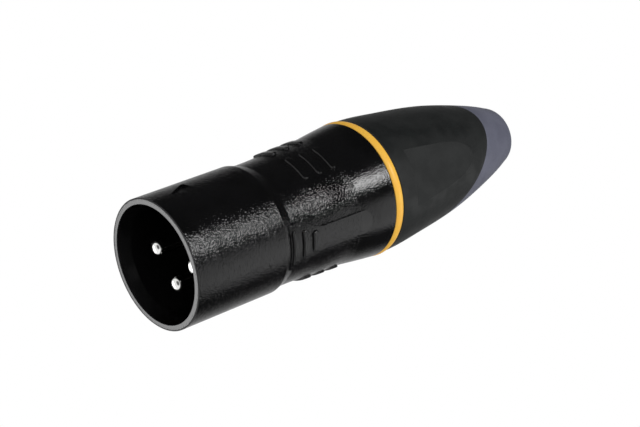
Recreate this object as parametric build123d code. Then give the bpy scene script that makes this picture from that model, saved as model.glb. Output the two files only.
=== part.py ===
from build123d import *
from math import cos, radians, sin, tan
import os

os.makedirs("parts", exist_ok=True)

# A three-pole male cable plug. It stands on its mating rim: the origin is the centre of the
# rim face, +Z runs along the plug's axis to the cable end, and +Y is the side of the latch
# recess and of the inner key. All sizes are in millimetres.

# Housing, outside
barrel_radius = 9.5
barrel_length = 15.75
rim_chamfer = 0.15
shoulder_end = 17.3
shoulder_drop = 0.43
waist_height = 22.0
waist_mid_drop = 0.3
grip_height = 25.0
grip_drop = 0.12
crease_height = 29.5
crease_rise = 0.03
crease_slope = 0.13
flare_slope = 0.09
shell_length = 35.8
rear_rise = 0.74
rear_chamfer = 0.15

# Housing, inside
barrel_wall = 1.45
socket_lead_in = 0.6
socket_lead_length = 2.0
socket_depth = 15.6
seat_step = 0.15
thread_step = 0.7
thread_pitch = 1.5
thread_turns = 4
thread_run_in = 0.6
key_ridge_start = 8.6
key_ridge_width = 2.4
key_ridge_height = 0.85
key_width = 2.0
key_depth = 0.4
key_length = 3.2
chuck_key_share = 0.38

# Latch recess
recess_front = 3.3
recess_rear = 6.9
recess_width = 4.4
recess_corner = 0.3
recess_depth = 0.35

# Grips
rib_width = 1.2
rib_length = 4.7
rib_first = 22.85
rib_pitch = 2.55
rib_count = 3
rib_crest_rise = 0.07
rib_crest_slope = 0.03
rib_rounding = 0.18
rib_offset_angle = 22.2
panel_front_drop = 0.1
panel_slope = 0.031
panel_front = 16.5
panel_wide = 3.4
panel_narrow = 1.78
panel_neck_start = 17.6
panel_neck_end = 22.6
panel_setback = 4.5
panel_cap = 1.1
side_rib_width = 1.1
side_rib_lengths = (5.2, 4.4, 3.2)
side_rib_rise = 0.3
side_rib_first = 17.3
side_rib_pitch = 1.77

# Contacts and their carrier
contact_circle_share = 0.50307
pin_radius = 1.18
pin_tip_setback = 2.9
pin_dome = 0.95
collar_radius = 1.5
contact_body_radius = 1.75
contact_seat = 17.0
contact_length = 26.4
cup_radius = 1.12
cup_depth = 4.2
cup_open_share = 0.8
insulator_thickness = 5.2
divider_thickness = 0.8
divider_reach_share = 0.76
divider_height_share = 0.45
tab_angle = 45
tab_width = 2.2
tab_thickness = 0.4
tab_inner_share = 0.626
tab_height_share = 0.57
spring_length = 2.8
tab_eye_radius_share = 0.139
tab_eye_share = 0.7

# Strain relief chuck
chuck_ring_share = 0.53
chuck_bore_share = 0.81
neck_play = 0.45
chuck_wall = 1.4
chuck_cone_setback = 7.0
chuck_cone_length = 6.2
cone_drop = 1.5
jaw_wall = 1.6
jaw_count = 4
jaw_slit = 1.5
jaw_slit_setback = 8.0
tooth_count = 4
tooth_depth = 0.4
tooth_share = 0.8
neck_run_out = 2.1

# Boot
ring_width = 1.32
ring_crown = 0.2
ring_drop = 0.08
bushing_wall = 1.4
flange_rise = 0.15
flange_length = 1.6
bushing_end_share = 0.52
bushing_taper = 2.4
bushing_end_wall = 2.0
bushing_lead_in = 0.3
cone_run_out = 0.8
boot_front_drop = 0.02
boot_front_chamfer = 0.15
boot_shoulder_share = 0.219
boot_shoulder_drop = 0.52
boot_middle_share = 0.487
boot_middle_drop = 1.57
boot_taper_share = 0.754
boot_taper_drop = 3.49
boot_neck_length = 2.05
boot_neck_drop = 5.24
boot_neck_slope = -0.42
plug_length = 67.05
outlet_lip = 0.25
outlet_radius = 2.9
outlet_length = 5.0
split_angle = 118.9
split_share = 0.5086
split_slope = 48.1
split_low_share = 0.293
split_knee = -1.0
split_low_slope = 0.15
scoop_count = 2
scoop_from_split = 40
scoop_setback = 3.0
scoop_depth = 0.85
scoop_slope = 0.071
scoop_length = 16.0

# Clearances
running = 0.05
seat_gap = 0.05
contact_gap = 0.02

# What follows from the sizes above
waist_radius = barrel_radius - shoulder_drop
waist_mid_radius = barrel_radius - waist_mid_drop
grip_radius = barrel_radius - grip_drop
crease_radius = barrel_radius + crease_rise
shell_rear_radius = barrel_radius + rear_rise
rib_crest_radius = barrel_radius + rib_crest_rise
panel_front_radius = barrel_radius - panel_front_drop
panel_end = shell_length - panel_setback
panel_side_end = panel_end - panel_cap
socket_radius = barrel_radius - barrel_wall
seat_radius = socket_radius + seat_step
thread_radius = seat_radius + thread_step
thread_start = shell_length - thread_pitch * thread_turns - thread_run_in
key_reach = seat_radius + key_depth
key_top_angle = 90
key_angles = (key_top_angle, key_top_angle + 180)
insulator_radius = seat_radius - running
insulator_rear = socket_depth + insulator_thickness
contact_circle = contact_circle_share * insulator_radius
divider_radius = divider_reach_share * insulator_radius
tab_inner = tab_inner_share * insulator_radius
chuck_front = insulator_rear + seat_gap
chuck_room = thread_start - chuck_front
divider_height = divider_height_share * chuck_room
tab_height = tab_height_share * chuck_room
tab_eye_radius = tab_eye_radius_share * tab_height
chuck_radius = seat_radius - running
chuck_ring_bore = chuck_bore_share * chuck_radius
bushing_front = thread_start + seat_gap
bushing_radius = thread_radius - running
bushing_bore = bushing_radius - bushing_wall
flange_radius = bushing_radius + flange_rise
bushing_end_radius = flange_radius - bushing_taper
bushing_channel = bushing_end_radius - bushing_end_wall
chuck_neck_radius = bushing_bore - neck_play
chuck_nose_radius = chuck_neck_radius - cone_drop
jaw_bore = chuck_nose_radius - jaw_wall
chuck_cone_start = thread_start + chuck_cone_setback
chuck_end = chuck_cone_start + chuck_cone_length
jaw_slit_start = chuck_cone_start - jaw_slit_setback
ring_front = shell_length + seat_gap
ring_edge_radius = shell_rear_radius - ring_drop
boot_front = ring_front + ring_width + seat_gap
boot_front_radius = shell_rear_radius - boot_front_drop
boot_shoulder_radius = boot_front_radius - boot_shoulder_drop
boot_middle_radius = boot_front_radius - boot_middle_drop
boot_taper_radius = boot_front_radius - boot_taper_drop
boot_neck_radius = boot_front_radius - boot_neck_drop
boot_length = plug_length - boot_front
bushing_end = boot_front + bushing_end_share * boot_length
split_height = boot_front + split_share * boot_length
split_low_height = boot_front + split_low_share * boot_length
scoop_front = boot_front + scoop_setback
side_angle = 0
side_angles = (side_angle, side_angle + 180)
contact_angles = {"pin_1": side_angle, "pin_2": side_angle + 180, "pin_3": key_top_angle + 180}
divider_angles = (key_top_angle, key_top_angle + 135, key_top_angle + 225)
far = 4 * barrel_radius
overrun = 1


def turned(outline):
    """A solid of revolution about Z from a closed outline of (radius, height) edges."""
    return revolve(Plane.XZ * make_face(outline), Axis.Z)


def turned_points(points):
    """A solid of revolution about Z from the corners of its half section."""
    return turned(Polyline(*points, close=True))


def outward_plane(angle, height):
    """A plane that faces outwards at an angle, with its x along the circumference and y along Z."""
    outward = (cos(radians(angle)), sin(radians(angle)), 0)
    along = (-sin(radians(angle)), cos(radians(angle)), 0)
    return Plane(origin=(0, 0, height), x_dir=along, z_dir=outward)


def radial_box(angle, inner, outer, width, low, high):
    """A box that runs outwards from the axis at an angle, between two radii and two heights."""
    block = Box(outer - inner, width, high - low)
    return Rot(0, 0, angle) * Pos((inner + outer) / 2, 0, (low + high) / 2) * block


def shell_form(inset):
    """The housing's outer form as a full solid, all of it set in by a depth."""
    base = barrel_radius - inset
    rim = Polyline(
        (0, 0),
        (base - rim_chamfer, 0),
        (base, rim_chamfer),
        (base, barrel_length),
        (waist_radius - inset, shoulder_end),
    )
    waist = Spline(
        (waist_radius - inset, shoulder_end),
        (waist_mid_radius - inset, waist_height),
        (grip_radius - inset, grip_height),
        (crease_radius - inset, crease_height),
        tangents=[(0, 1), (crease_slope, 1)],
    )
    flare = Spline(
        waist @ 1,
        (shell_rear_radius - inset, shell_length - rear_chamfer),
        tangents=[(crease_slope, 1), (flare_slope, 1)],
    )
    rear = Polyline(
        flare @ 1,
        (shell_rear_radius - rear_chamfer - inset, shell_length),
        (0, shell_length),
        (0, 0),
    )
    return turned(rim + waist + flare + rear)


def raised_rib(length, width, height, crest_radius, crest_slope):
    """A round-ended rib across +X, cut off by a conical crest, with rounded upper edges."""
    low = height - width
    high = height + width
    crest = turned_points(
        [
            (0, low),
            (crest_radius - crest_slope * width, low),
            (crest_radius + crest_slope * width, high),
            (0, high),
        ]
    )
    slot = outward_plane(0, height) * SlotOverall(length, width)
    rib = extrude(slot, far) & crest
    upper = rib.faces().sort_by(Axis.X)[-1]
    return fillet(upper.edges(), rib_rounding)


def grips():
    """The four groups of raised ribs, two beside the latch side and two opposite."""
    group = []
    for number in range(rib_count):
        rise = number * rib_pitch
        crest_radius = rib_crest_radius + rib_crest_slope * rise
        group.append(
            raised_rib(rib_length, rib_width, rib_first + rise, crest_radius, rib_crest_slope)
        )
    ribs = []
    for side in key_angles:
        for turn in (-rib_offset_angle, rib_offset_angle):
            ribs += [Rot(0, 0, side + turn) * rib for rib in group]
    return ribs


def panel_outline():
    """The side panel's outline: wide at the shoulder, then a narrow tongue with a round end."""
    right = Polyline((0, panel_front), (panel_wide, panel_front), (panel_wide, panel_neck_start))
    sweep_in = Spline(
        right @ 1,
        (panel_narrow, panel_neck_end),
        tangents=[(0, 1), (0, 1)],
    )
    tongue = Line(sweep_in @ 1, (panel_narrow, panel_side_end))
    cap = ThreePointArc(tongue @ 1, (0, panel_end), (-panel_narrow, panel_side_end))
    left = mirror(right + sweep_in + tongue, Plane.YZ)
    return make_face(right + sweep_in + tongue + cap + left)


def side_panels():
    """The two raised side panels, which sink into the flare, and the ribs at their front."""
    panel_height = panel_end - panel_front
    crest = turned_points(
        [
            (0, panel_front),
            (panel_front_radius, panel_front),
            (panel_front_radius + panel_slope * panel_height, panel_end),
            (0, panel_end),
        ]
    )
    panel = extrude(outward_plane(0, 0) * panel_outline(), far) & crest
    pieces = [panel]
    for number, length in enumerate(side_rib_lengths):
        height = side_rib_first + number * side_rib_pitch
        panel_radius = panel_front_radius + panel_slope * (height - panel_front)
        crest_radius = panel_radius + side_rib_rise
        pieces.append(raised_rib(length, side_rib_width, height, crest_radius, panel_slope))
    return [Rot(0, 0, side) * piece for side in side_angles for piece in pieces]


def latch_recess():
    """The shallow recess in the barrel that shows the latch side, pointed towards the rim."""
    corners = Polyline(
        (0, recess_front),
        (recess_width / 2, recess_rear),
        (-recess_width / 2, recess_rear),
        close=True,
    )
    outline = make_face(corners)
    outline = fillet(outline.vertices(), recess_corner)
    return extrude(outward_plane(key_top_angle, 0) * outline, far) - shell_form(recess_depth)


def shell():
    """The die-cast housing."""
    cavity = turned_points(
        [
            (0, 0),
            (socket_radius + socket_lead_in, 0),
            (socket_radius, socket_lead_length),
            (socket_radius, socket_depth),
            (seat_radius, socket_depth),
            (seat_radius, thread_start),
            (thread_radius, thread_start),
            (thread_radius, shell_length),
            (0, shell_length),
        ]
    )
    body = shell_form(0) + grips() + side_panels() - cavity
    groove_width = key_width + 2 * running
    for angle in key_angles:
        body -= radial_box(
            angle,
            seat_radius - overrun,
            key_reach + running,
            groove_width,
            socket_depth,
            thread_start,
        )
    wall_middle = (socket_radius + barrel_radius) / 2
    body += radial_box(
        key_top_angle,
        socket_radius - key_ridge_height,
        wall_middle,
        key_ridge_width,
        key_ridge_start,
        socket_depth,
    )
    return body - latch_recess()


def contact_spot(name):
    """The place of a contact's axis."""
    angle = radians(contact_angles[name])
    return Pos(contact_circle * cos(angle), contact_circle * sin(angle), 0)


def contact(name):
    """A turned contact: domed pin, collar and body in the carrier and open solder cup."""
    dome_end = pin_tip_setback + pin_dome
    collar_start = socket_depth - seat_gap
    body_start = contact_seat + seat_gap
    dome = Spline((0, pin_tip_setback), (pin_radius, dome_end), tangents=[(1, 0), (0, 1)])
    sides = Polyline(
        (pin_radius, dome_end),
        (pin_radius, collar_start),
        (collar_radius, collar_start),
        (collar_radius, body_start),
        (contact_body_radius, body_start),
        (contact_body_radius, contact_length),
        (cup_radius, contact_length),
        (cup_radius, contact_length - cup_depth),
        (0, contact_length - cup_depth),
        (0, pin_tip_setback),
    )
    body = turned(dome + sides)
    mouth = radial_box(
        contact_angles[name],
        0,
        2 * contact_body_radius,
        2 * contact_body_radius,
        contact_length - cup_open_share * cup_depth,
        contact_length + overrun,
    )
    return contact_spot(name) * (body - mouth)


def insulator():
    """The contact carrier: a keyed disc with three seats, a tab recess and rear dividers."""
    body = turned_points(
        [
            (0, socket_depth),
            (insulator_radius, socket_depth),
            (insulator_radius, insulator_rear),
            (0, insulator_rear),
        ]
    )
    body += radial_box(
        key_top_angle,
        insulator_radius - overrun,
        key_reach,
        key_width,
        socket_depth + seat_gap,
        socket_depth + key_length,
    )
    divider_root = insulator_rear - overrun
    divider_top = insulator_rear + divider_height
    for angle in divider_angles:
        body += radial_box(angle, 0, divider_radius, divider_thickness, divider_root, divider_top)
    hub = Cylinder(divider_thickness, divider_top - divider_root)
    body += Pos(0, 0, (divider_root + divider_top) / 2) * hub
    upward = (Align.CENTER, Align.CENTER, Align.MIN)
    for name in contact_angles:
        hole = Cylinder(collar_radius + contact_gap, far, align=upward)
        seat_hole = Cylinder(contact_body_radius + contact_gap, far, align=upward)
        seat = Pos(0, 0, contact_seat) * seat_hole
        body -= contact_spot(name) * (hole + seat)
    recess_floor = insulator_rear - tab_thickness - 2 * running
    recess_width = tab_width + 2 * running
    leg_inner = insulator_radius - tab_thickness - 3 * running
    leg_low = recess_floor - spring_length - running
    recess_outer = insulator_radius + overrun
    recess_top = insulator_rear + running
    body -= radial_box(
        tab_angle, tab_inner - running, recess_outer, recess_width, recess_floor, recess_top
    )
    body -= radial_box(tab_angle, leg_inner, recess_outer, recess_width, leg_low, recess_top)
    return body


def ground_contact():
    """The bent tab: a leg against the housing's wall, a base in its recess and a solder lug."""
    base_low = insulator_rear - tab_thickness - running
    base_high = base_low + tab_thickness
    outer = insulator_radius - running
    base = radial_box(tab_angle, tab_inner, outer, tab_width, base_low, base_high)
    leg = radial_box(
        tab_angle, outer - tab_thickness, outer, tab_width, base_low - spring_length, base_high
    )
    lug = radial_box(
        tab_angle, tab_inner, tab_inner + tab_thickness, tab_width, base_low, base_high + tab_height
    )
    eye_plane = outward_plane(tab_angle, base_high + tab_eye_share * tab_height)
    eye = eye_plane * Cylinder(tab_eye_radius, far)
    return base + leg + (lug - eye)


def chuck():
    """The strain relief collet: a keyed ring and sprung jaws that end in an outer cone."""
    ring_end = chuck_front + chuck_ring_share * chuck_room
    neck_bore = chuck_neck_radius - chuck_wall
    slope_end = ring_end + (chuck_radius - chuck_neck_radius)
    corners = [
        (chuck_ring_bore, chuck_front),
        (chuck_radius, chuck_front),
        (chuck_radius, ring_end),
        (chuck_neck_radius, slope_end),
        (chuck_neck_radius, chuck_cone_start),
        (chuck_nose_radius, chuck_end),
    ]
    tooth_pitch = (chuck_end - chuck_cone_start) / tooth_count
    for number in range(tooth_count):
        top = chuck_end - number * tooth_pitch
        corners.append((jaw_bore, top))
        corners.append((jaw_bore + tooth_depth, top - tooth_share * tooth_pitch))
    corners.append((jaw_bore, chuck_cone_start))
    corners.append((neck_bore, chuck_cone_start - neck_run_out))
    corners.append((neck_bore, slope_end))
    corners.append((chuck_ring_bore, ring_end))
    body = turned_points(corners)
    for number in range(jaw_count):
        angle = (number + 0.5) * 360 / jaw_count
        body -= radial_box(angle, 0, chuck_radius, jaw_slit, jaw_slit_start, chuck_end + overrun)
    for angle in key_angles:
        body += radial_box(
            angle,
            (chuck_ring_bore + chuck_radius) / 2,
            key_reach,
            key_width,
            chuck_front,
            chuck_front + chuck_key_share * chuck_room,
        )
    return body


def cone_radius(height, base_radius):
    """The radius of the bushing's inner cone at a height, parallel to the chuck's cone."""
    slope = (chuck_neck_radius - chuck_nose_radius) / (chuck_end - chuck_cone_start)
    return base_radius - slope * (height - chuck_cone_start)


def bushing():
    """The boot's rigid core: threaded nose, flange, inner cone and a long tapered tail."""
    cone_base = chuck_neck_radius + 2 * running
    cone_top = chuck_end + cone_run_out
    return turned_points(
        [
            (bushing_bore, bushing_front),
            (bushing_radius - bushing_lead_in, bushing_front),
            (bushing_radius, bushing_front + bushing_lead_in),
            (bushing_radius, boot_front),
            (flange_radius, boot_front),
            (flange_radius, boot_front + flange_length),
            (bushing_end_radius, bushing_end),
            (bushing_channel, bushing_end),
            (bushing_channel, cone_top + cone_run_out),
            (cone_radius(cone_top, cone_base), cone_top),
            (cone_base, chuck_cone_start),
            (bushing_bore, chuck_cone_start - cone_run_out),
        ]
    )


def boot_form(inset):
    """The boot's outer form as a full solid, all of it set in by a depth."""
    front = Polyline(
        (0, boot_front),
        (boot_front_radius - boot_front_chamfer - inset, boot_front),
        (boot_front_radius - inset, boot_front + boot_front_chamfer),
    )
    side = Spline(
        front @ 1,
        (boot_shoulder_radius - inset, boot_front + boot_shoulder_share * boot_length),
        (boot_middle_radius - inset, boot_front + boot_middle_share * boot_length),
        (boot_taper_radius - inset, boot_front + boot_taper_share * boot_length),
        (boot_neck_radius - inset, plug_length - boot_neck_length),
        tangents=[(0, 1), (boot_neck_slope, 1)],
    )
    lip = Spline(
        side @ 1,
        (outlet_radius + outlet_lip - inset, plug_length),
        tangents=[side % 1, (-1, 0)],
    )
    rear = Polyline(lip @ 1, (0, plug_length), (0, boot_front))
    return turned(front + side + lip + rear)


def split_tool():
    """All that lies behind the slanting colour split of the boot."""
    rise = tan(radians(split_slope))
    reach = boot_front_radius + overrun
    straight = Line(
        (reach, split_height + rise * reach), (split_knee, split_height + rise * split_knee)
    )
    bend = Spline(
        straight @ 1,
        (-reach, split_low_height),
        tangents=[(-1, -rise), (-1, -split_low_slope)],
    )
    top = plug_length + overrun
    around = Polyline(bend @ 1, (-reach, top), (reach, top), straight @ 0)
    outline = make_face(straight + bend + around)
    return Rot(0, 0, split_angle) * extrude(Plane.XZ * outline, far / 2, both=True)


def scoop_cutters():
    """The thumb flats: stepped at the front and running out in a point towards the tip."""
    front_distance = boot_front_radius - scoop_depth - scoop_slope * scoop_setback
    rear = scoop_front + scoop_length
    outline = make_face(
        Polyline(
            (front_distance, scoop_front),
            (far, scoop_front),
            (far, rear),
            (front_distance - scoop_slope * scoop_length, rear),
            close=True,
        )
    )
    blank = extrude(Plane.XZ * outline, far / 2, both=True)
    turns = [number * 360 / scoop_count for number in range(scoop_count)]
    return [Rot(0, 0, split_angle + scoop_from_split + turn) * blank for turn in turns]


def boot_halves():
    """The soft boot as its black sleeve and its grey tip."""
    hollow = turned_points(
        [
            (0, boot_front),
            (flange_radius, boot_front),
            (flange_radius, boot_front + flange_length),
            (bushing_end_radius, bushing_end),
            (bushing_channel, bushing_end),
            (outlet_radius, plug_length - outlet_length),
            (outlet_radius, plug_length),
            (0, plug_length),
        ]
    )
    form = boot_form(0) - hollow - scoop_cutters()
    behind = split_tool()
    return form - behind, form & behind


def coding_ring():
    """The coloured ring between the housing and the boot, with a slightly crowned outside."""
    ring_rear = ring_front + ring_width
    bore = bushing_radius + running
    crown = ThreePointArc(
        (ring_edge_radius, ring_front),
        (ring_edge_radius + ring_crown, ring_front + ring_width / 2),
        (ring_edge_radius, ring_rear),
    )
    inside = Polyline(crown @ 1, (bore, ring_rear), (bore, ring_front), crown @ 0)
    return turned(crown + inside)


boot_sleeve, boot_tip = boot_halves()
nodes = {
    "shell": shell(),
    "insulator": insulator(),
    "ground_contact": ground_contact(),
    "chuck": chuck(),
    "bushing": bushing(),
    "boot_sleeve": boot_sleeve,
    "boot_tip": boot_tip,
    "coding_ring": coding_ring(),
}
for contact_name in contact_angles:
    nodes[contact_name] = contact(contact_name)
for node_name, node_shape in nodes.items():
    export_step(node_shape, "parts/" + node_name + ".step")
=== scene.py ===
"""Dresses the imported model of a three-pole cable plug and lights it as a product picture.

The plug stands on its mating rim: the origin is the centre of the rim, +Z runs along the
plug to the cable end and +Y is the side of the latch recess. All sizes are in metres.
"""

from __future__ import annotations

import logging
from collections.abc import Callable
from dataclasses import dataclass, field
from enum import Enum
from typing import Any

import bpy
import numpy as np
from mathutils import Matrix, Vector

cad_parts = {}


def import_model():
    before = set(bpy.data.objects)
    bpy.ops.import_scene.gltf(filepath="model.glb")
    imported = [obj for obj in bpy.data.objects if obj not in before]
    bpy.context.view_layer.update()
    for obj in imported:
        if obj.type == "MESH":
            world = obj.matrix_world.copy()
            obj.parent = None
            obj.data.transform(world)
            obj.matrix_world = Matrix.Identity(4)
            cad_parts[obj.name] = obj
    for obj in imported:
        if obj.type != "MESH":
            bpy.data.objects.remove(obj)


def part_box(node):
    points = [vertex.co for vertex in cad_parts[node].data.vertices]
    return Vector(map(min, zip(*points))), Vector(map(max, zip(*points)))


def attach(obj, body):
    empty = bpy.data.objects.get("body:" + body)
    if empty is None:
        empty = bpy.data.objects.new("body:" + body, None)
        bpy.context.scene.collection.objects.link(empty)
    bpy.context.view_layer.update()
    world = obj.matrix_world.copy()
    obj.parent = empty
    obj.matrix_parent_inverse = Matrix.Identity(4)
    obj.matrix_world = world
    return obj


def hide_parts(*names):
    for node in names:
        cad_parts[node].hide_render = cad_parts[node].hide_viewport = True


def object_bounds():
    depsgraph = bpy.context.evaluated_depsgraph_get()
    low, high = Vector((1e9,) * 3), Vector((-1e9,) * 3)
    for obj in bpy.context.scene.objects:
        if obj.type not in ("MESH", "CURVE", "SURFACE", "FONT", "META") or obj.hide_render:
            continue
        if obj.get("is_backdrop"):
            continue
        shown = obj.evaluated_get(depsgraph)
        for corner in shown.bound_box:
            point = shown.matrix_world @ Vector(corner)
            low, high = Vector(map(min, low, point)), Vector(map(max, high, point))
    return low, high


LOG = logging.getLogger("plug")
MM = 0.001
WHITE = (1.0, 1.0, 1.0)

# How a noise pattern is turned, so that its own cells never line up with the plug
ASKEW = (0.61, 0.83, 0.37)
# The finer grain's cells in one cell of the coarse grain
FINER = 3.1

Colour = tuple[float, float, float]
Triple = tuple[float, float, float]
Pair = tuple[float, float]


class Body(Enum):
    """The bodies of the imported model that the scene's own pieces ride on."""

    BOOT = "boot"


class Effect(Enum):
    """The shader effects that several finishes share."""

    GRAIN = "Grain"
    HANDLING = "Handling marks"
    BAND = "Band along the plug"
    RINGS = "Turning rings"


class Tree:
    """A node tree that is filled with short calls."""

    def __init__(self, tree: bpy.types.NodeTree) -> None:
        """Wraps a node tree.

        Args:
            tree: The shader node tree to fill.
        """
        self.tree = tree

    def feed(self, socket: bpy.types.NodeSocket, value: Any) -> None:
        """Links a socket to another one or gives it a plain value.

        Args:
            socket: The input socket.
            value: An output socket, a number, a colour or a vector.
        """
        if isinstance(value, bpy.types.NodeSocket):
            self.tree.links.new(value, socket)
        elif socket.type == "RGBA" and len(value) == 3:
            socket.default_value = (*value, 1.0)
        else:
            socket.default_value = value

    def add(self, kind: str, inputs: dict[Any, Any] | None = None, **settings: Any) -> Any:
        """Adds a node.

        Args:
            kind: The node's type name without its ShaderNode start.
            inputs: Values or sockets for the node's inputs, by name or number.
            **settings: The node's own settings.

        Returns:
            The new node.
        """
        node = self.tree.nodes.new("ShaderNode" + kind)
        for name, value in settings.items():
            setattr(node, name, value)
        for name, value in (inputs or {}).items():
            self.feed(node.inputs[name], value)
        return node

    def maths(self, operation: str, *terms: Any) -> Any:
        """One step of arithmetic.

        Args:
            operation: The name of the operation.
            *terms: Numbers or sockets, in order.

        Returns:
            The result's socket.
        """
        return self.add("Math", dict(enumerate(terms)), operation=operation).outputs[0]

    def spread(self, value: Any, source: tuple[Any, Any], target: tuple[Any, Any]) -> Any:
        """Maps a value smoothly from one range to another and clamps it.

        Args:
            value: The value's socket.
            source: The range it comes from.
            target: The range it goes to.

        Returns:
            The result's socket.
        """
        ends = {
            "Value": value,
            "From Min": source[0],
            "From Max": source[1],
            "To Min": target[0],
            "To Max": target[1],
        }
        return self.add("MapRange", ends, interpolation_type="SMOOTHSTEP").outputs["Result"]

    def blend(self, share: Any, first: Any, second: Any) -> Any:
        """Mixes two colours.

        Args:
            share: How much of the second colour, from 0 to 1.
            first: A colour or its socket.
            second: A colour or its socket.

        Returns:
            The mixed colour's socket.
        """
        return self.add("Mix", {0: share, 6: first, 7: second}, data_type="RGBA").outputs[2]

    def noise(self, place: Any, scale: Any, detail: float = 2.0) -> Any:
        """A noise value from 0 to 1.

        Args:
            place: The position's socket.
            scale: Cells in a metre, as a number or a socket.
            detail: How many finer layers are added.

        Returns:
            The value's socket.
        """
        inputs = {"Vector": place, "Scale": scale, "Detail": detail}
        return self.add("TexNoise", inputs).outputs[0]


class EffectShop:
    """Builds each shared shader effect once, as a node group, and places it in materials."""

    def __init__(self) -> None:
        """Starts with no group made."""
        self.groups: dict[Effect, bpy.types.NodeTree] = {}

    def place(self, tree: Tree, effect: Effect, spot: Any, **values: float) -> Any:
        """Places an effect in a material.

        Args:
            tree: The material's tree.
            effect: The effect.
            spot: The socket of the position that the pattern follows.
            **values: The group's own numbers by name.

        Returns:
            The socket of the effect's one output.
        """
        if effect not in self.groups:
            self.groups[effect] = self.build(effect)
        node = tree.add("Group", node_tree=self.groups[effect])
        tree.feed(node.inputs["Place"], spot)
        for name, value in values.items():
            tree.feed(node.inputs[name], value)
        return node.outputs[0]

    def build(self, effect: Effect) -> bpy.types.NodeTree:
        """Makes an effect's group.

        Args:
            effect: The effect.

        Returns:
            The finished node group.
        """
        recipes: dict[Effect, tuple[tuple[str, ...], str, Callable[..., Any]]] = {
            Effect.GRAIN: (("Cell", "Fine"), "Height", self.grain),
            Effect.HANDLING: (("Patch", "Low", "High"), "Value", self.handling),
            Effect.BAND: (("Centre", "Width"), "Mask", self.band),
            Effect.RINGS: (("Pitch",), "Height", self.rings),
        }
        takes, gives, recipe = recipes[effect]
        group = bpy.data.node_groups.new(effect.value, "ShaderNodeTree")
        sockets = group.interface
        sockets.new_socket("Place", in_out="INPUT", socket_type="NodeSocketVector")
        for name in takes:
            sockets.new_socket(name, in_out="INPUT", socket_type="NodeSocketFloat")
        sockets.new_socket(gives, in_out="OUTPUT", socket_type="NodeSocketFloat")
        tree = Tree(group)
        start = group.nodes.new("NodeGroupInput")
        end = group.nodes.new("NodeGroupOutput")
        result = recipe(tree, start.outputs["Place"], *(start.outputs[n] for n in takes))
        tree.feed(end.inputs[0], result)
        return group

    @staticmethod
    def grain(tree: Tree, spot: Any, cell: Any, fine: Any) -> Any:
        """Pebbled grain: noise of one cell size, with a share of finer noise.

        Args:
            tree: The group's tree.
            spot: The position.
            cell: The size of a pebble.
            fine: The share of the finer layer.

        Returns:
            The height's socket.
        """
        scale = tree.maths("DIVIDE", 1.0, cell)
        askew = tree.add("Mapping", {"Vector": spot, "Rotation": ASKEW}).outputs[0]
        coarse = tree.noise(askew, scale, 0.0)
        small = tree.noise(askew, tree.maths("MULTIPLY", scale, FINER), 0.0)
        return tree.maths("ADD", coarse, tree.maths("MULTIPLY", small, fine))

    @staticmethod
    def handling(tree: Tree, spot: Any, patch: Any, low: Any, high: Any) -> Any:
        """Soft patches between two values, as hands leave on a surface.

        Args:
            tree: The group's tree.
            spot: The position.
            patch: The size of a patch.
            low: The value outside the patches.
            high: The value in the patches.

        Returns:
            The value's socket.
        """
        cloud = tree.noise(spot, tree.maths("DIVIDE", 1.0, patch), 4.0)
        return tree.spread(cloud, (0.35, 0.65), (low, high))

    @staticmethod
    def band(tree: Tree, spot: Any, centre: Any, width: Any) -> Any:
        """A mask that is 1 at one height of the plug and fades to 0 at half a width from it.

        Args:
            tree: The group's tree.
            spot: The position.
            centre: The height of the band's middle.
            width: The band's full width.

        Returns:
            The mask's socket.
        """
        height = tree.add("SeparateXYZ", {0: spot}).outputs[2]
        away = tree.maths("ABSOLUTE", tree.maths("SUBTRACT", height, centre))
        half = tree.maths("MULTIPLY", width, 0.5)
        return tree.spread(tree.maths("DIVIDE", away, half), (0.55, 1.0), (1.0, 0.0))

    @staticmethod
    def rings(tree: Tree, spot: Any, pitch: Any) -> Any:
        """Fine uneven rings across the plug's axis, as a turning tool or a mould leaves.

        Args:
            tree: The group's tree.
            spot: The position.
            pitch: The distance between rings.

        Returns:
            The height's socket.
        """
        height = tree.add("SeparateXYZ", {0: spot}).outputs[2]
        line = tree.add("CombineXYZ", {2: height}).outputs[0]
        return tree.noise(line, tree.maths("DIVIDE", 1.0, pitch), 2.0)


SHOP = EffectShop()


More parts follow.
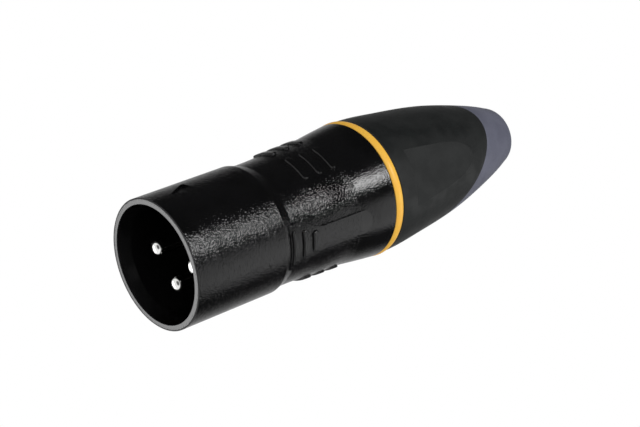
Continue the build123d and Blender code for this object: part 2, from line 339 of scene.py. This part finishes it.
@dataclass(frozen=True)
class Finish:
    """A finish of one colour with patches, grain and its own gloss.

    Attributes:
        name: The material's name.
        colour: The base colour.
        patch_colour: The colour in its patches.
        roughness: The lowest and highest roughness.
        specular: The strength of the surface reflection.
        metallic: 1 for bare metal.
        cell: The size of the grain's pebbles.
        relief: The height of the grain.
        fine: The share of finer grain.
        patch: The size of its patches of colour.
        gloss_patch: The size of its patches of gloss, as a share of those.
        sheen: The strength of the soft edge light of rubber.
        sheen_roughness: How wide that light spreads.
    """

    name: str
    colour: Colour
    patch_colour: Colour
    roughness: Pair
    specular: float = 0.5
    metallic: float = 0.0
    cell: float = 0.3 * MM
    relief: float = 0.01 * MM
    fine: float = 0.5
    patch: float = 6 * MM
    gloss_patch: float = 0.6
    sheen: float = 0.0
    sheen_roughness: float = 0.4

    def build(self) -> bpy.types.Material:
        """Makes the material.

        Returns:
            The finished material.
        """
        material = bpy.data.materials.new(self.name)
        material.use_nodes = True
        tree = Tree(material.node_tree)
        material.node_tree.nodes.clear()
        spot = tree.add("TexCoord").outputs["Object"]
        shader = tree.add("BsdfPrincipled")
        shader.inputs["Specular IOR Level"].default_value = self.specular
        shader.inputs["Metallic"].default_value = self.metallic
        shader.inputs["Sheen Weight"].default_value = self.sheen
        shader.inputs["Sheen Roughness"].default_value = self.sheen_roughness
        tree.feed(shader.inputs["Base Color"], self.tint(tree, spot))
        tree.feed(shader.inputs["Roughness"], self.gloss(tree, spot))
        bump = tree.add("Bump", {"Height": self.height(tree, spot)})
        bump.inputs["Distance"].default_value = self.relief
        tree.feed(shader.inputs["Normal"], bump.outputs[0])
        output = tree.add("OutputMaterial", {"Surface": shader.outputs[0]})
        output.is_active_output = True
        return material

    def tint(self, tree: Tree, spot: Any) -> Any:
        """The base colour: two near tones in soft patches."""
        share = SHOP.place(tree, Effect.HANDLING, spot, Patch=self.patch, Low=0.0, High=1.0)
        return tree.blend(share, self.colour, self.patch_colour)

    def gloss(self, tree: Tree, spot: Any) -> Any:
        """The roughness: soft patches between its lowest and highest value."""
        patch, (low, high) = self.gloss_patch * self.patch, self.roughness
        return SHOP.place(tree, Effect.HANDLING, spot, Patch=patch, Low=low, High=high)

    def height(self, tree: Tree, spot: Any) -> Any:
        """The relief: pebbled grain."""
        return SHOP.place(tree, Effect.GRAIN, spot, Cell=self.cell, Fine=self.fine)


@dataclass(frozen=True)
class Lacquer(Finish):
    """The housing's black paint: orange peel that calms down on the smooth rear collar, with
    a painted reflection lightening the rim.

    Attributes:
        rim_reflection_bands: The heights of the bands that carry a painted reflection, and
            their widths.
        painted_rim_reflection: The lighter grey painted on those bands in place of the light
            that the rim mirrors.
        calm_start: The height from which the paint is smoother.
        calm_fade: The distance on each side of it over which the grain changes.
        calm_share: The depth of the grain there, as a share of the whole.
        inside: The radii between which the grain grows from nothing to its whole depth.
    """

    rim_reflection_bands: tuple[Pair, ...] = ()
    painted_rim_reflection: Colour = (0.1, 0.1, 0.105)
    calm_start: float = 29.5 * MM
    calm_fade: float = 0.1 * MM
    calm_share: float = 0.5
    inside: Pair = (8.8 * MM, 9.2 * MM)

    def tint(self, tree: Tree, spot: Any) -> Any:
        """The base colour, with a painted reflection: lighter grey along the rim's bands.

        Args:
            tree: The material's tree.
            spot: The position.

        Returns:
            The colour's socket.
        """
        colour = Finish.tint(self, tree, spot)
        # Painted reflection: each band round the rim is lightened to stand in for the bright
        # light that the rim face mirrors.
        for centre, width in self.rim_reflection_bands:
            mask = SHOP.place(tree, Effect.BAND, spot, Centre=centre, Width=width)
            colour = tree.blend(mask, colour, self.painted_rim_reflection)
        return colour

    def height(self, tree: Tree, spot: Any) -> Any:
        """The grain, less deep on the rear collar and gone inside the socket.

        Args:
            tree: The material's tree.
            spot: The position.

        Returns:
            The height's socket.
        """
        grain = Finish.height(self, tree, spot)
        across, side, along = tree.add("SeparateXYZ", {0: spot}).outputs
        flat = tree.add("CombineXYZ", {0: across, 1: side}).outputs[0]
        radius = tree.add("VectorMath", {0: flat}, operation="LENGTH").outputs["Value"]
        ends = (self.calm_start - self.calm_fade, self.calm_start + self.calm_fade)
        depth = tree.maths(
            "MULTIPLY",
            tree.spread(along, ends, (1.0, self.calm_share)),
            tree.spread(radius, self.inside, (0.0, 1.0)),
        )
        return tree.maths("MULTIPLY", grain, depth)


@dataclass(frozen=True)
class Turned(Finish):
    """A turned and plated metal with fine rings round its axis.

    Attributes:
        pitch: The distance between the rings.
    """

    pitch: float = 0.08 * MM

    def height(self, tree: Tree, spot: Any) -> Any:
        """The relief: turning rings."""
        return SHOP.place(tree, Effect.RINGS, spot, Pitch=self.pitch)


def dress(node: str, finish: Finish) -> None:
    """Gives a carried-over solid its finish.

    Args:
        node: The solid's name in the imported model.
        finish: Its finish.
    """
    material = finish.build()
    for place in bpy.data.objects[node].material_slots:
        place.material = material
    LOG.info("%s: %s", node, finish.name)


def grid_mesh(name: str, points: np.ndarray) -> bpy.types.Object:
    """A closed piece from a grid of points that joins up in both directions.

    Every square of the grid becomes one face: its corners are the points (i, j), (i, j + 1),
    (i + 1, j + 1) and (i + 1, j), with the last row and column joined to the first.

    Args:
        name: The piece's name.
        points: An array of the shape (profile, turn, 3).

    Returns:
        The piece, linked to the scene.
    """
    along, around = points.shape[:2]
    number = np.arange(along * around).reshape(along, around)
    right = np.roll(number, -1, axis=1)
    below = np.roll(number, -1, axis=0)
    corners = np.stack([number, right, np.roll(below, -1, axis=1), below], axis=-1)
    corners = corners.reshape(-1)
    mesh = bpy.data.meshes.new(name)
    mesh.vertices.add(along * around)
    mesh.vertices.foreach_set("co", points.reshape(-1).astype(np.float32))
    mesh.loops.add(len(corners))
    mesh.loops.foreach_set("vertex_index", corners.astype(np.int32))
    mesh.polygons.add(len(corners) // 4)
    mesh.polygons.foreach_set("loop_start", np.arange(0, len(corners), 4, dtype=np.int32))
    mesh.update(calc_edges=True)
    mesh.validate()
    mesh.shade_smooth()
    piece = bpy.data.objects.new(name, mesh)
    bpy.context.scene.collection.objects.link(piece)
    return piece


@dataclass
class Housing:
    """The die-cast housing with its contacts and their carrier.

    Attributes:
        lacquer: The housing's finish.
        carrier: The contact carrier's finish.
        silver: The contacts' finish.
        tin: The ground contact's finish.
    """

    lacquer: Lacquer = Lacquer(
        name="Black lacquer",
        colour=(0.0026, 0.0026, 0.0028),
        patch_colour=(0.0042, 0.0042, 0.0046),
        roughness=(0.11, 0.16),
        cell=0.2 * MM,
        relief=0.048 * MM,
        fine=0.06,
        # Painted reflection: a lighter grey band at the rim's height, standing in for the
        # light that the rim mirrors.
        rim_reflection_bands=((0.0, 0.3 * MM),),
        painted_rim_reflection=(0.035, 0.035, 0.036),
    )
    carrier: Finish = Finish(
        name="Black moulding",
        colour=(0.006, 0.006, 0.006),
        patch_colour=(0.009, 0.009, 0.009),
        roughness=(0.45, 0.6),
        cell=0.12 * MM,
        relief=0.004 * MM,
    )
    silver: Turned = Turned(
        name="Silver plate",
        colour=(0.82, 0.82, 0.81),
        patch_colour=(0.74, 0.74, 0.72),
        roughness=(0.07, 0.13),
        metallic=1.0,
        relief=0.002 * MM,
        patch=2 * MM,
    )
    tin: Turned = Turned(
        name="Tin plate",
        colour=(0.7, 0.7, 0.69),
        patch_colour=(0.6, 0.6, 0.58),
        roughness=(0.25, 0.4),
        metallic=1.0,
        relief=0.003 * MM,
        patch=2 * MM,
    )

    def dress(self) -> None:
        """Gives the housing's solids their finishes."""
        dress("shell", self.lacquer)
        dress("insulator", self.carrier)
        dress("ground_contact", self.tin)
        for number in (1, 2, 3):
            dress(f"pin_{number}", self.silver)


@dataclass
class CableClamp:
    """The jawed chuck that holds the cable.

    Attributes:
        natural: The chuck's finish.
    """

    natural: Finish = Finish(
        name="Natural white moulding",
        colour=(0.72, 0.71, 0.66),
        patch_colour=(0.66, 0.65, 0.6),
        roughness=(0.35, 0.5),
        cell=0.2 * MM,
        relief=0.004 * MM,
    )

    def dress(self) -> None:
        """Gives the chuck its finish."""
        dress("chuck", self.natural)


@dataclass
class Boot:
    """The screw-on boot: threaded core, soft sleeve and tip, and the coloured ring.

    Its sizes are in millimetres.

    Attributes:
        crest_radius: The core's radius over the thread.
        thread_depth: How deep the thread is cut.
        thread_pitch: The distance between two turns.
        thread_lead: The chamfer at the thread's front.
        thread_runout: The plain length between thread and flange.
        thread_fade: The length over which the thread's first and last turn grow.
        thread_flank: How steep the thread's flanks are, where 0.5 is a plain wave.
        flange_radius: The flange's radius.
        flange_height: The height of the flange's front.
        flange_length: The flange's length.
        end_radius: The core's radius at its rear end.
        bore_radius: The radius of the bore in the nose.
        channel_radius: The radius of the rear channel.
        cone_height: The height of the inner cone's front.
        cone_radius: Its radius there.
        cone_end: The height of its rear end.
        cone_end_radius: Its radius there.
        cone_step: The length of the slopes that join the cone to the bores.
        edge: The size of the small edge chamfers.
        steps: The points along the threaded nose.
        turns: The points round the core.
        core: The threaded core's finish.
        sleeve: The sleeve's finish.
        tip: The tip's finish.
        ring: The coloured ring's finish.
    """

    crest_radius: float = 8.85
    thread_depth: float = 0.62
    thread_pitch: float = 1.5
    thread_lead: float = 0.3
    thread_runout: float = 0.4
    thread_fade: float = 0.6
    thread_flank: float = 0.9
    flange_radius: float = 9.0
    flange_height: float = 37.22
    flange_length: float = 1.6
    end_radius: float = 6.6
    bore_radius: float = 7.45
    channel_radius: float = 4.6
    cone_height: float = 36.2
    cone_radius: float = 7.1
    cone_end: float = 43.2
    cone_end_radius: float = 5.41
    cone_step: float = 0.8
    edge: float = 0.05
    steps: int = 110
    turns: int = 120
    core: Finish = Finish(
        name="Black core moulding",
        colour=(0.012, 0.012, 0.012),
        patch_colour=(0.017, 0.017, 0.017),
        roughness=(0.32, 0.45),
        cell=0.15 * MM,
        relief=0.003 * MM,
    )
    sleeve: Finish = Finish(
        name="Black rubber",
        colour=(0.0052, 0.0066, 0.0066),
        patch_colour=(0.0085, 0.0102, 0.01),
        roughness=(0.48, 0.64),
        specular=0.42,
        cell=0.16 * MM,
        relief=0.006 * MM,
        patch=4 * MM,
        sheen=0.06,
    )
    tip: Finish = Finish(
        name="Slate grey rubber",
        colour=(0.098, 0.102, 0.142),
        patch_colour=(0.12, 0.124, 0.168),
        roughness=(0.5, 0.66),
        specular=0.4,
        cell=0.16 * MM,
        relief=0.006 * MM,
        patch=4 * MM,
        sheen=0.05,
    )
    ring: Finish = Finish(
        name="Orange moulding",
        colour=(1.0, 0.56, 0.065),
        patch_colour=(1.0, 0.52, 0.055),
        roughness=(0.3, 0.42),
        cell=0.1 * MM,
        relief=0.002 * MM,
        patch=3 * MM,
    )

    def threaded_core(self) -> None:
        """Builds the core: the solid's half section carried round, with a thread on its nose.

        The radius at height z and angle t of the nose is the crest radius less the depth
        times a wave of z / pitch - t / full turn, flattened at crest and root and faded out
        at both ends of the nose.
        """
        low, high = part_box("bushing")
        front, rear = low.z / MM, high.z / MM
        thread_start = front + self.thread_lead
        thread_end = self.flange_height - self.thread_runout
        height = np.linspace(thread_start, thread_end, self.steps)[:, None]
        angle = np.linspace(0.0, 2 * np.pi, self.turns, endpoint=False)[None, :]
        wave = np.cos(2 * np.pi * (height / self.thread_pitch) - angle)
        groove = np.clip(0.5 + self.thread_flank * wave, 0.0, 1.0)
        fade_in = np.clip((height - thread_start) / self.thread_fade, 0.0, 1.0)
        fade_out = np.clip((thread_end - height) / self.thread_fade, 0.0, 1.0)
        radius = self.crest_radius - self.thread_depth * groove * fade_in * fade_out
        level = np.broadcast_to(height, radius.shape)
        nose = MM * np.stack([radius * np.cos(angle), radius * np.sin(angle), level], axis=-1)
        soft = self.edge
        crest, flange, channel = self.crest_radius, self.flange_radius, self.channel_radius
        flange_end = self.flange_height + self.flange_length
        before = [
            (self.bore_radius, front + soft),
            (self.bore_radius + soft, front),
            (crest - self.thread_lead - soft, front),
            (crest - self.thread_lead, front),
        ]
        after = [
            (crest, self.flange_height - soft),
            (crest, self.flange_height),
            (flange - soft, self.flange_height),
            (flange, self.flange_height + soft),
            (flange, flange_end - soft),
            (flange, flange_end),
            (self.end_radius, rear - soft),
            (self.end_radius - soft, rear),
            (channel + soft, rear),
            (channel, rear - soft),
            (channel, self.cone_end + self.cone_step),
            (self.cone_end_radius, self.cone_end),
            (self.cone_radius, self.cone_height + soft),
            (self.cone_radius, self.cone_height),
            (self.bore_radius, self.cone_height - self.cone_step),
        ]
        rings = [self.ring_of(radius_mm, height_mm, angle) for radius_mm, height_mm in before]
        tail = [self.ring_of(radius_mm, height_mm, angle) for radius_mm, height_mm in after]
        points = np.concatenate([np.stack(rings), nose, np.stack(tail)])
        LOG.info("threaded_core: thread from %.2f to %.2f mm", thread_start, thread_end)
        piece = grid_mesh("threaded_core", points)
        piece.data.materials.append(self.core.build())
        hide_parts("bushing")
        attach(piece, Body.BOOT.value)

    @staticmethod
    def ring_of(radius_mm: float, height_mm: float, angle: np.ndarray) -> np.ndarray:
        """One ring of points round the axis.

        Args:
            radius_mm: Its radius in millimetres.
            height_mm: Its height in millimetres.
            angle: The angles of its points, in an array of the shape (1, points).

        Returns:
            An array of the shape (points, 3).
        """
        turn = angle[0]
        flat = np.stack([np.cos(turn), np.sin(turn), np.zeros_like(turn)], axis=-1)
        return flat * radius_mm * MM + np.array([0.0, 0.0, height_mm * MM])

    def dress(self) -> None:
        """Builds the core and gives the boot's solids their finishes."""
        self.threaded_core()
        dress("boot_sleeve", self.sleeve)
        dress("boot_tip", self.tip)
        dress("coding_ring", self.ring)


@dataclass(frozen=True)
class Lamp:
    """A square soft lamp that faces the plug.

    Attributes:
        name: The lamp's name.
        direction: Where it stands, seen from the plug.
        distance: How far from the plug's middle.
        size: The length of its side.
        brightness: Its radiance, where 1 shows as white.
    """

    name: str
    direction: Triple
    distance: float
    size: float
    brightness: float

    def light(self, target: Vector) -> None:
        """Places the lamp.

        Args:
            target: The point that it faces.
        """
        data = bpy.data.lights.new(self.name, "AREA")
        data.shape = "SQUARE"
        data.size = self.size
        data.energy = self.brightness * np.pi * data.size**2
        lamp = bpy.data.objects.new(self.name, data)
        bpy.context.scene.collection.objects.link(lamp)
        away = Vector(self.direction).normalized()
        lamp.location = target + away * self.distance
        lamp.rotation_euler = away.to_track_quat("Z", "Y").to_euler()
        lamp.visible_camera = False


@dataclass
class Studio:
    """The floor, the backdrop, the lamps and the camera.

    A patch of the backdrop has the cosines of the angles between which its edge fades, and
    the values outside and inside it.

    Attributes:
        lens: The camera's focal length in millimetres.
        sensor: The width of its sensor in millimetres.
        camera_place: Where the camera stands.
        camera_right: The direction to the right of its picture.
        camera_up: The direction to the top of its picture.
        fill: The light from all sides on matt surfaces.
        sweep_way: The middle of the bright sweep that gloss reflects.
        sweep_edge: The cosines of its edge, which ends past 1, so it stays soft throughout.
        sweep_light: The values outside and inside it.
        below_edge: The cosines of the edge of the bright patch below the rim.
        pin_way: The middle of the dim patch in it, which the contacts' domes reflect.
        pin_edge: The cosines of the dim patch's edge.
        pin_light: The values outside and inside the dim patch.
        floor_radii: The radii of the floor's rings, from its hole to its reach.
        floor_level: The floor's height.
        floor_tones: The darkest and the palest grey of the floor.
        floor_scale: Cells of the floor's pattern in a metre.
        lamps: The lamps.
    """

    lens: float = 102.45
    sensor: float = 36.0
    camera_place: Triple = (-0.1805835, 0.1077087, -0.1306993)
    camera_right: Triple = (-0.67102561, -0.01802066, 0.74121514)
    camera_up: Triple = (0.29501121, 0.91067158, 0.28921559)
    fill: float = 0.55
    sweep_way: Triple = (0.687, -0.481, 0.545)
    sweep_edge: Pair = (0.65, 1.05)
    sweep_light: Pair = (0.03, 0.62)
    below_edge: Pair = (0.2, 0.5)
    pin_way: Triple = (-0.35, 0.38, -0.86)
    pin_edge: Pair = (0.82, 0.93)
    pin_light: Pair = (1.0, 0.15)
    floor_radii: tuple[float, ...] = (9.3 * MM, 0.05, 0.4, 6.0)
    floor_level: float = -0.1 * MM
    floor_tones: Pair = (0.84, 0.88)
    floor_scale: float = 30.0
    lamps: list[Lamp] = field(
        default_factory=lambda: [
            Lamp("key", (-0.768, 0.518, 0.378), 0.5, 0.14, 12.0),
            Lamp("side", (-0.65, -0.303, 0.7), 0.5, 0.42, 0.95),
            Lamp("rim", (0.73, -0.435, -0.53), 0.5, 0.35, 2.0),
        ]
    )

    def camera(self) -> None:
        """Sets the camera where the photograph was taken from."""
        data = bpy.data.cameras.new("camera")
        data.lens = self.lens
        data.sensor_width = self.sensor
        data.clip_start = 0.01
        camera = bpy.data.objects.new("camera", data)
        bpy.context.scene.collection.objects.link(camera)
        right, up = Vector(self.camera_right), Vector(self.camera_up)
        turn = Matrix((right, up, right.cross(up))).transposed()
        camera.matrix_world = Matrix.Translation(self.camera_place) @ turn.to_4x4()
        bpy.context.scene.camera = camera

    def floor(self) -> None:
        """Lays the floor: a flat ring under the rim that only shows from above."""
        angle = np.linspace(0.0, 2 * np.pi, 96, endpoint=False)
        flat = np.stack([np.cos(angle), np.sin(angle)], axis=-1)
        radii = np.array(self.floor_radii)
        points = np.zeros((len(radii), len(angle), 3))
        points[..., :2] = flat[None] * radii[:, None, None]
        points[..., 2] = self.floor_level
        mesh = bpy.data.meshes.new("floor")
        number = np.arange(points[..., 0].size).reshape(points.shape[:2])
        right = np.roll(number, -1, axis=1)
        faces = np.stack([number[:-1], number[1:], right[1:], right[:-1]], axis=-1)
        mesh.from_pydata(points.reshape(-1, 3).tolist(), [], faces.reshape(-1, 4).tolist())
        mesh.materials.append(self.floor_finish())
        floor = bpy.data.objects.new("floor", mesh)
        bpy.context.scene.collection.objects.link(floor)
        floor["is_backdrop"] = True

    def floor_finish(self) -> bpy.types.Material:
        """Makes the floor's material: pale from above, clear from below and to lamps.

        Returns:
            The finished material.
        """
        material = bpy.data.materials.new("Pale floor")
        material.use_nodes = True
        material.node_tree.nodes.clear()
        tree = Tree(material.node_tree)
        spot = tree.add("TexCoord").outputs["Object"]
        dark, light = ((grey, grey, grey) for grey in self.floor_tones)
        tone = tree.blend(tree.noise(spot, self.floor_scale), dark, light)
        pale = tree.add("BsdfDiffuse", {"Color": tone})
        clear = tree.add("BsdfTransparent")
        path = tree.add("LightPath")
        under = tree.add("NewGeometry").outputs["Backfacing"]
        share = tree.maths("MAXIMUM", under, path.outputs["Is Shadow Ray"])
        mixed = tree.add("MixShader", {0: share, 1: pale.outputs[0], 2: clear.outputs[0]})
        tree.add("OutputMaterial", {"Surface": mixed.outputs[0]})
        return material

    @staticmethod
    def glow(tree: Tree, way: Any, centre: Triple, cosines: Pair, values: Pair) -> Any:
        """A soft-edged patch of the world round a direction.

        Args:
            tree: The world's tree.
            way: The socket of the direction that is looked in.
            centre: The direction of the patch's middle.
            cosines: The cosines of the angles at which the edge starts and ends.
            values: The values outside and inside the patch.

        Returns:
            The value's socket.
        """
        middle = tuple(Vector(centre).normalized())
        facing = tree.add("VectorMath", {0: way, 1: middle}, operation="DOT_PRODUCT")
        return tree.spread(facing.outputs["Value"], cosines, values)

    def backdrop(self) -> None:
        """Makes the world: white to the camera, and an even fill to matt surfaces.

        Gloss reflects a bright sweep on a dark ground and a bright patch below the rim. The
        patch has a dim middle, so that the contacts' domes aren't all white.
        """
        world = bpy.data.worlds.new("studio")
        bpy.context.scene.world = world
        world.use_nodes = True
        world.node_tree.nodes.clear()
        tree = Tree(world.node_tree)
        way = tree.add("TexCoord").outputs["Generated"]
        sweep = self.glow(tree, way, self.sweep_way, self.sweep_edge, self.sweep_light)
        below = self.glow(tree, way, (0.0, 0.0, -1.0), self.below_edge, (0.0, 1.0))
        dim = self.glow(tree, way, self.pin_way, self.pin_edge, self.pin_light)
        sweep = tree.maths("MAXIMUM", sweep, tree.maths("MULTIPLY", below, dim))
        path = tree.add("LightPath")
        seen = tree.maths(
            "MAXIMUM", path.outputs["Is Camera Ray"], path.outputs["Is Transmission Ray"]
        )
        gloss = tree.maths("MULTIPLY", path.outputs["Is Glossy Ray"], sweep)
        plain = tree.maths("MULTIPLY", path.outputs["Is Diffuse Ray"], self.fill)
        strength = tree.maths("MAXIMUM", tree.maths("MAXIMUM", seen, gloss), plain)
        light = tree.add("Background", {"Color": WHITE, "Strength": strength})
        tree.add("OutputWorld", {"Surface": light.outputs[0]})

    def build(self, middle: Vector) -> None:
        """Sets up the whole studio.

        Args:
            middle: The middle of the plug, which the lamps face.
        """
        self.camera()
        self.floor()
        self.backdrop()
        for lamp in self.lamps:
            lamp.light(middle)
        bpy.context.scene.view_settings.view_transform = "Standard"


def main() -> None:
    """Builds the pieces in order."""
    logging.basicConfig(level=logging.INFO, format="%(message)s")
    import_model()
    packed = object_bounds()
    Studio().build((packed[0] + packed[1]) / 2)
    Housing().dress()
    CableClamp().dress()
    Boot().dress()


if __name__ == "__main__":
    main()
